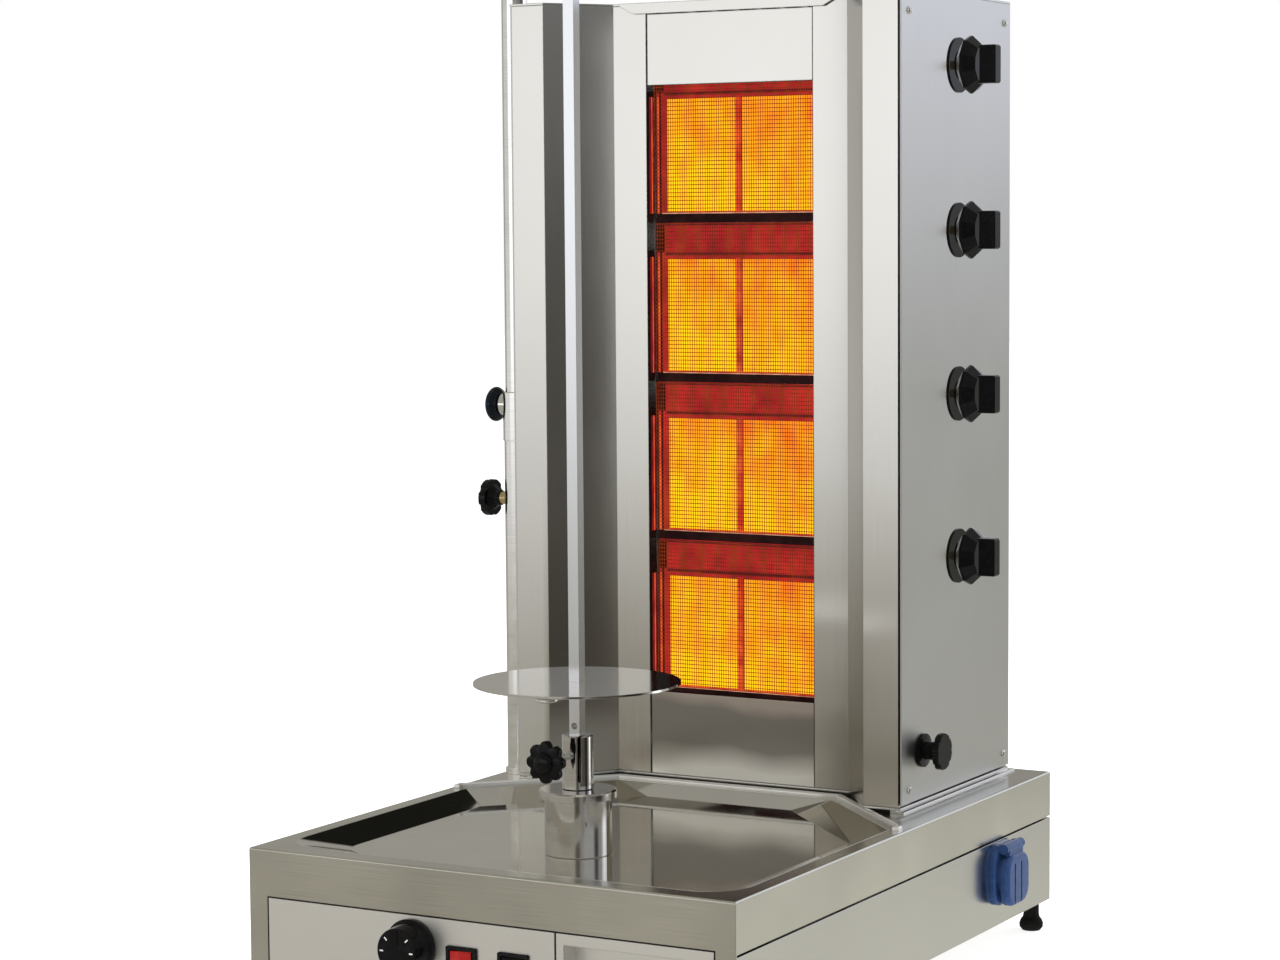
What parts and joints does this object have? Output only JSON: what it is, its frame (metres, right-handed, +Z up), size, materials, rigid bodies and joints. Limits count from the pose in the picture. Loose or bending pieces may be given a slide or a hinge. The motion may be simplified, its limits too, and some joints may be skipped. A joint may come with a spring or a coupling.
{
  "type": "vertical rotisserie broiler",
  "caption": "Vertical gas rotisserie grill: stacked ceramic burners in a sliding tower face a motor-driven upright spit over a drip tray, with front controls and a grease drawer.",
  "frame": {"origin": "on the floor under the middle of the base cabinet", "axes": "+X to the right seen from the front, +Y to the back, +Z up; the spit, the controls and the drawer face -Y"},
  "size_m": [0.4983, 0.6842, 1.029],
  "materials": {
    "base_shell": "brushed stainless sheet",
    "top_pan": "brushed stainless sheet",
    "drip_tray": "bright-annealed stainless, near mirror",
    "rear_lip": "polished",
    "feet": "moulded black",
    "control_panel": "brushed stainless sheet",
    "regulator_body": "moulded",
    "thermostat_dial": "moulded gloss black with white marks",
    "rocker_bezels": "moulded black",
    "red_rocker": "translucent red",
    "black_rocker": "moulded black",
    "drawer_front": "brushed stainless sheet",
    "drawer_pan": "stainless sheet, satin",
    "drawer_runners": "folded sheet",
    "cable_gland": "moulded black",
    "socket_body": "moulded blue",
    "socket_lid": "moulded blue",
    "gear_motor": "cast case, painted",
    "motor_bracket": "folded sheet",
    "drive_shaft": "ground",
    "bearing_housing": "turned",
    "bearing_cap": "turned",
    "spit_coupling": "turned",
    "coupling_knob": "moulded black star grip on a steel stud",
    "spit_bar": "ground square bar",
    "disc_clip": "spring wire",
    "meat_disc": "satin stainless sheet",
    "column_tube": "satin stainless tube",
    "column_collar": "turned",
    "column_clamp_bush": "turned brass",
    "column_clamp_knob": "moulded black star grip",
    "index_knob": "moulded gloss black",
    "column_rod": "ground and polished",
    "top_arm": "satin stainless",
    "arm_bush": "bronze liner",
    "slide_rails": "polished flat bar",
    "tower_floor": "stainless sheet",
    "wing_right": "brushed stainless sheet",
    "wing_left": "brushed stainless sheet",
    "side_panel_right": "brushed stainless sheet",
    "side_panel_left": "brushed stainless sheet",
    "tower_screws": "plated screws",
    "rear_panel": "brushed stainless sheet",
    "roof": "brushed stainless sheet",
    "cover_upper": "brushed stainless sheet",
    "cover_lower": "brushed stainless sheet",
    "burner_1": "heat-blackened casting",
    "burner_2": "heat-blackened casting",
    "burner_3": "heat-blackened casting",
    "burner_4": "heat-blackened casting",
    "ceramic_plates": "glowing perforated ceramic",
    "burner_frames": "heat-glowing sheet frame",
    "burner_mesh": "heat-resistant wire mesh",
    "gas_manifold": "brass pipe and fittings",
    "gas_valves": "brass valve bodies",
    "valve_knob_1": "moulded gloss black",
    "valve_knob_2": "moulded gloss black",
    "valve_knob_3": "moulded gloss black",
    "valve_knob_4": "moulded gloss black",
    "tower_clamp_knob": "moulded black grip on a steel stud"
  },
  "bodies": {
    "base": {"base_shell": "base_shell", "top_pan": "top_pan", "drip_tray": "drip_tray", "rear_lip": "rear_lip", "feet": "feet", "control_panel": "control_panel", "regulator_body": "regulator_body", "rocker_bezels": "rocker_bezels", "drawer_runners": "drawer_runners", "cable_gland": "cable_gland", "socket_body": "socket_body", "gear_motor": "gear_motor", "motor_bracket": "motor_bracket", "bearing_housing": "bearing_housing", "bearing_cap": "bearing_cap", "column_tube": "column_tube", "column_collar": "column_collar", "column_clamp_bush": "column_clamp_bush", "slide_rails": "slide_rails"},
    "dial": {"thermostat_dial": "thermostat_dial"},
    "red_switch": {"red_rocker": "red_rocker"},
    "black_switch": {"black_rocker": "black_rocker"},
    "drawer": {"drawer_front": "drawer_front", "drawer_pan": "drawer_pan"},
    "socket_lid": {"socket_lid": "socket_lid"},
    "spindle": {"drive_shaft": "drive_shaft", "spit_coupling": "spit_coupling"},
    "coupling_knob": {"coupling_knob": "coupling_knob"},
    "spit": {"spit_bar": "spit_bar", "disc_clip": "disc_clip"},
    "disc": {"meat_disc": "meat_disc"},
    "rod": {"column_rod": "column_rod"},
    "arm": {"top_arm": "top_arm", "arm_bush": "arm_bush"},
    "index_knob": {"index_knob": "index_knob"},
    "column_clamp": {"column_clamp_knob": "column_clamp_knob"},
    "tower": {"tower_floor": "tower_floor", "wing_right": "wing_right", "wing_left": "wing_left", "side_panel_right": "side_panel_right", "side_panel_left": "side_panel_left", "tower_screws": "tower_screws", "rear_panel": "rear_panel", "roof": "roof", "cover_upper": "cover_upper", "cover_lower": "cover_lower", "burner_1": "burner_1", "burner_2": "burner_2", "burner_3": "burner_3", "burner_4": "burner_4", "ceramic_plates": "ceramic_plates", "burner_frames": "burner_frames", "burner_mesh": "burner_mesh", "gas_manifold": "gas_manifold", "gas_valves": "gas_valves"},
    "valve_1": {"valve_knob_1": "valve_knob_1"},
    "valve_2": {"valve_knob_2": "valve_knob_2"},
    "valve_3": {"valve_knob_3": "valve_knob_3"},
    "valve_4": {"valve_knob_4": "valve_knob_4"},
    "tower_clamp": {"tower_clamp_knob": "tower_clamp_knob"}
  },
  "joints": [
    {"name": "dial_turn", "type": "hinge", "parent": "base", "child": "dial", "pos_m": [-0.068, -0.32, 0.083], "axis": [0, -1, 0], "range_deg": [-270, 0]},
    {"name": "red_switch_tip", "type": "hinge", "parent": "base", "child": "red_switch", "pos_m": [-0.0195, -0.317, 0.077], "axis": [0, 0, 1], "range_deg": [-25, 0]},
    {"name": "black_switch_tip", "type": "hinge", "parent": "base", "child": "black_switch", "pos_m": [0.0295, -0.317, 0.077], "axis": [0, 0, 1], "range_deg": [-25, 0]},
    {"name": "drawer_slide", "type": "slide", "parent": "base", "child": "drawer", "axis": [0, -1, 0], "range_m": [0, 0.19]},
    {"name": "socket_lid_hinge", "type": "hinge", "parent": "base", "child": "socket_lid", "pos_m": [0.24, 0.203, 0.1005], "axis": [0, -1, 0], "range_deg": [0, 100], "stiffness_Nm_per_rad": 0.04, "springref_deg": -20.05},
    {"name": "spit_drive", "type": "hinge", "parent": "base", "child": "spindle", "pos_m": [0, -0.167, 0.2], "axis": [0, 0, 1], "continuous": true},
    {"name": "coupling_clamp_turn", "type": "hinge", "parent": "spindle", "child": "coupling_knob", "pos_m": [0, -0.219, 0.224], "axis": [0, -1, 0], "range_deg": [0, 360]},
    {"name": "spit_lift", "type": "slide", "parent": "spindle", "child": "spit", "axis": [0, 0, 1], "range_m": [0, 0.036]},
    {"name": "disc_height", "type": "slide", "parent": "spit", "child": "disc", "axis": [0, 0, 1], "range_m": [0, 0.35]},
    {"name": "column_lift", "type": "slide", "parent": "base", "child": "rod", "axis": [0, 0, 1], "range_m": [-0.02, 0.12]},
    {"name": "arm_swing", "type": "hinge", "parent": "rod", "child": "arm", "pos_m": [-0.213, 0.089, 1], "axis": [0, 0, 1], "range_deg": [-100, 0]},
    {"name": "index_pull", "type": "slide", "parent": "base", "child": "index_knob", "axis": [-1, 0, 0], "range_m": [0, 0.006], "stiffness_N_per_m": 600, "springref_m": -0.004},
    {"name": "column_clamp_turn", "type": "hinge", "parent": "base", "child": "column_clamp", "pos_m": [-0.2412, 0.089, 0.411], "axis": [-1, 0, 0], "range_deg": [0, 360]},
    {"name": "tower_slide", "type": "slide", "parent": "base", "child": "tower", "axis": [0, -1, 0], "range_m": [-0.012, 0.07]},
    {"name": "tower_clamp_turn", "type": "hinge", "parent": "tower", "child": "tower_clamp", "pos_m": [0.197, 0.101, 0.201], "axis": [1, 0, 0], "range_deg": [0, 360]},
    {"name": "valve_1_turn", "type": "hinge", "parent": "tower", "child": "valve_1", "pos_m": [0.197, 0.174, 0.3675], "axis": [1, 0, 0], "range_deg": [-180, 0]},
    {"name": "valve_2_turn", "type": "hinge", "parent": "tower", "child": "valve_2", "pos_m": [0.197, 0.174, 0.514], "axis": [1, 0, 0], "range_deg": [-180, 0]},
    {"name": "valve_3_turn", "type": "hinge", "parent": "tower", "child": "valve_3", "pos_m": [0.197, 0.174, 0.6605], "axis": [1, 0, 0], "range_deg": [-180, 0]},
    {"name": "valve_4_turn", "type": "hinge", "parent": "tower", "child": "valve_4", "pos_m": [0.197, 0.174, 0.807], "axis": [1, 0, 0], "range_deg": [-180, 0]}
  ]
}
